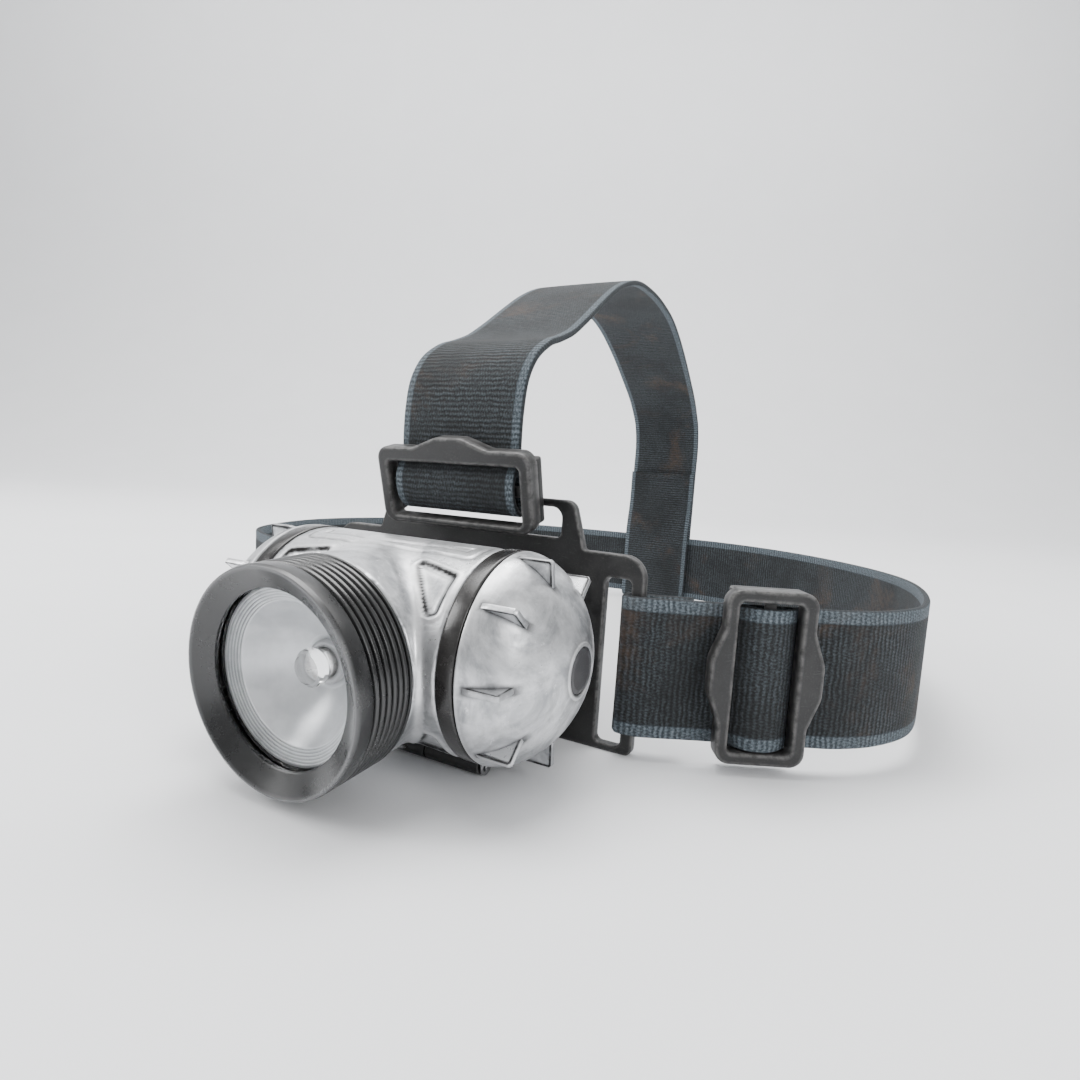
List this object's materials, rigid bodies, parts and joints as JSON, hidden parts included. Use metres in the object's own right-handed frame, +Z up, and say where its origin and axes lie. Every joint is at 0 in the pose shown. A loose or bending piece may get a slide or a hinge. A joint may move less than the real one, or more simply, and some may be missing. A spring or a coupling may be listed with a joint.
{
  "type": "headlamp",
  "caption": "Camping headlamp with a focusing bezel, finned battery end caps, a tilting lamp body on a forehead bracket, an elastic headband, a strap over the head and sliders.",
  "frame": {"origin": "centre of the lamp's width on the bracket's forehead face, at the height of the lamp's axis", "axes": "+Y out of the forehead face towards the head, +Z up, +X towards the power button; the lamp shines along -Y"},
  "size_m": [0.2273, 0.2553, 0.1246],
  "materials": {
    "bracket": "dark grey moulding, worn lighter at the edges",
    "slider": "dark grey moulding",
    "black_moulding": "matt",
    "housing": "satin silver paint, scuffed",
    "bezel": "satin black grip",
    "button": "satin",
    "rubber": "satin",
    "webbing": "ribbed elastic, lighter edge stripes, worn",
    "glass": "clear",
    "reflector": "satin bright",
    "steel": "plain",
    "brass": "plain",
    "cell": "printed sleeve, left plain",
    "board": "solder mask"
  },
  "bodies": {
    "harness": {"bracket": "bracket", "hinge_pin": "steel", "hinge_clip": "steel", "headband": "webbing", "top_strap": "webbing"},
    "lamp": {"housing": "housing", "tilt_foot": "black_moulding", "foot_screw_left": "steel", "foot_screw_right": "steel", "battery_1": "cell", "battery_2": "cell", "battery_3": "cell", "battery_spacer": "black_moulding", "bulb_socket": "black_moulding", "socket_screw_1": "steel", "socket_screw_2": "steel", "bulb_base": "brass", "bulb_glass": "glass", "socket_spring": "steel", "right_seal_band": "rubber", "left_seal_band": "rubber", "neck_oring": "rubber"},
    "focus_carriage": {"lens": "glass", "lens_gasket": "rubber", "reflector": "reflector", "lens_retainer": "black_moulding"},
    "bezel": {"focus_ring": "bezel"},
    "right_contacts": {"right_contact_board": "board", "right_spring_1": "steel", "right_spring_2": "steel", "right_spring_3": "steel", "tact_switch": "black_moulding"},
    "right_end_cap": {"right_cap": "housing", "right_cap_gasket": "rubber"},
    "button": {"power_button": "button"},
    "left_contacts": {"left_contact_board": "board", "left_spring_1": "steel", "left_spring_2": "steel", "left_spring_3": "steel"},
    "left_end_cap": {"left_cap": "housing", "left_cap_gasket": "rubber", "left_cap_plug": "button"},
    "band_slider": {"right_slider": "slider", "right_slider_fold": "webbing"},
    "crown_slider": {"top_slider": "slider", "top_slider_fold": "webbing"}
  },
  "joints": [
    {"name": "lamp_tilt", "type": "hinge", "parent": "harness", "child": "lamp", "pos_m": [0, -0.0278, -0.02245], "axis": [1, 0, 0], "range_deg": [-3.9, 40]},
    {"name": "focus_slide", "type": "slide", "parent": "lamp", "child": "focus_carriage", "axis": [0, -0.9977, -0.068], "range_m": [0, 0.003]},
    {"name": "focus_turn", "type": "hinge", "parent": "focus_carriage", "child": "bezel", "pos_m": [0, -0.0268, 0], "axis": [0, -0.9977, -0.068], "range_deg": [0, 180]},
    {"name": "right_cap_slide", "type": "slide", "parent": "lamp", "child": "right_contacts", "axis": [1, 0, 0], "range_m": [0, 0.003]},
    {"name": "right_cap_turn", "type": "hinge", "parent": "right_contacts", "child": "right_end_cap", "pos_m": [0, -0.0268, 0], "axis": [1, 0, 0], "range_deg": [0, 360]},
    {"name": "button_press", "type": "slide", "parent": "right_end_cap", "child": "button", "axis": [-1, 0, 0], "range_m": [0, 0.001], "stiffness_N_per_m": 1500, "springref_m": -0.0005},
    {"name": "left_cap_slide", "type": "slide", "parent": "lamp", "child": "left_contacts", "axis": [-1, 0, 0], "range_m": [0, 0.003]},
    {"name": "left_cap_turn", "type": "hinge", "parent": "left_contacts", "child": "left_end_cap", "pos_m": [0, -0.0268, 0], "axis": [-1, 0, 0], "range_deg": [0, 360]},
    {"name": "band_slider_slide", "type": "slide", "parent": "harness", "child": "band_slider", "axis": [0.8862, 0.4633, 0], "range_m": [-0.003, 0.004]},
    {"name": "crown_slider_slide", "type": "slide", "parent": "harness", "child": "crown_slider", "axis": [0, -0.2588, 0.9659], "range_m": [0, 0.006]}
  ],
  "couplings": [
    {"joint": "focus_slide", "follows": "focus_turn", "m_per_rad": 0.00095493},
    {"joint": "right_cap_slide", "follows": "right_cap_turn", "m_per_rad": 0.00047746},
    {"joint": "left_cap_slide", "follows": "left_cap_turn", "m_per_rad": 0.00047746}
  ]
}
